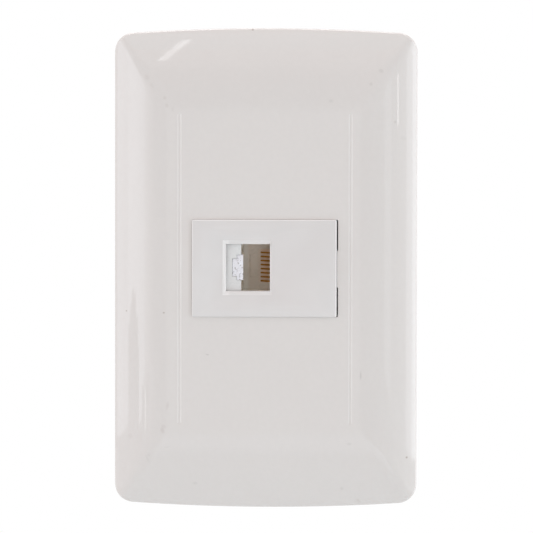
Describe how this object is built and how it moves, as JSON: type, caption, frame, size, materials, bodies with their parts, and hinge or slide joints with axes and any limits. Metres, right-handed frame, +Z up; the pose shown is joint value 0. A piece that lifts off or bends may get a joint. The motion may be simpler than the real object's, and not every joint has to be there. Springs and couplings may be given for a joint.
{
  "type": "telephone wall socket",
  "caption": "Upright wall plate with rolled flanges and an oblong module whose bevelled opening holds a modular telephone jack turned on its side.",
  "frame": {"origin": "the middle of the plate's outline on the wall's surface, which is the plane y = 0", "axes": "+X to the right and +Z up as seen from the front; the front faces -Y and +Y points into the wall"},
  "size_m": [0.0756, 0.0317, 0.12],
  "materials": {
    "cover_plastic": "glossy moulded",
    "module_plastic": "satin moulded",
    "frame_plastic": "satin moulded",
    "jack_plastic": "satin moulded",
    "clear_plastic": "clear moulded plastic",
    "carrier_plastic": "satin moulded",
    "contact_gold": "gold plated spring wire",
    "screw_steel": "zinc plated",
    "board_laminate": "lacquered laminate",
    "terminal_plastic": "satin moulded",
    "blade_metal": "tinned phosphor bronze",
    "cap_plastic": "moulded",
    "rear_plastic": "satin moulded"
  },
  "bodies": {
    "root": {"front_cover": "cover_plastic", "mounting_frame": "frame_plastic", "mounting_screw_upper": "screw_steel", "mounting_screw_lower": "screw_steel", "module_housing": "module_plastic", "jack_shell": "jack_plastic", "latch_insert": "clear_plastic", "contact_carrier": "carrier_plastic", "contact_wire_1": "contact_gold", "contact_wire_2": "contact_gold", "contact_wire_3": "contact_gold", "contact_wire_4": "contact_gold", "contact_wire_5": "contact_gold", "contact_wire_6": "contact_gold", "contact_wire_7": "contact_gold", "contact_wire_8": "contact_gold", "circuit_board": "board_laminate", "idc_block_upper": "terminal_plastic", "idc_block_lower": "terminal_plastic", "idc_blade_1": "blade_metal", "idc_blade_2": "blade_metal", "idc_blade_3": "blade_metal", "idc_blade_4": "blade_metal", "idc_blade_5": "blade_metal", "idc_blade_6": "blade_metal", "idc_blade_7": "blade_metal", "idc_blade_8": "blade_metal", "idc_cap_upper": "cap_plastic", "idc_cap_lower": "cap_plastic", "rear_cover": "rear_plastic"}
  },
  "joints": []
}
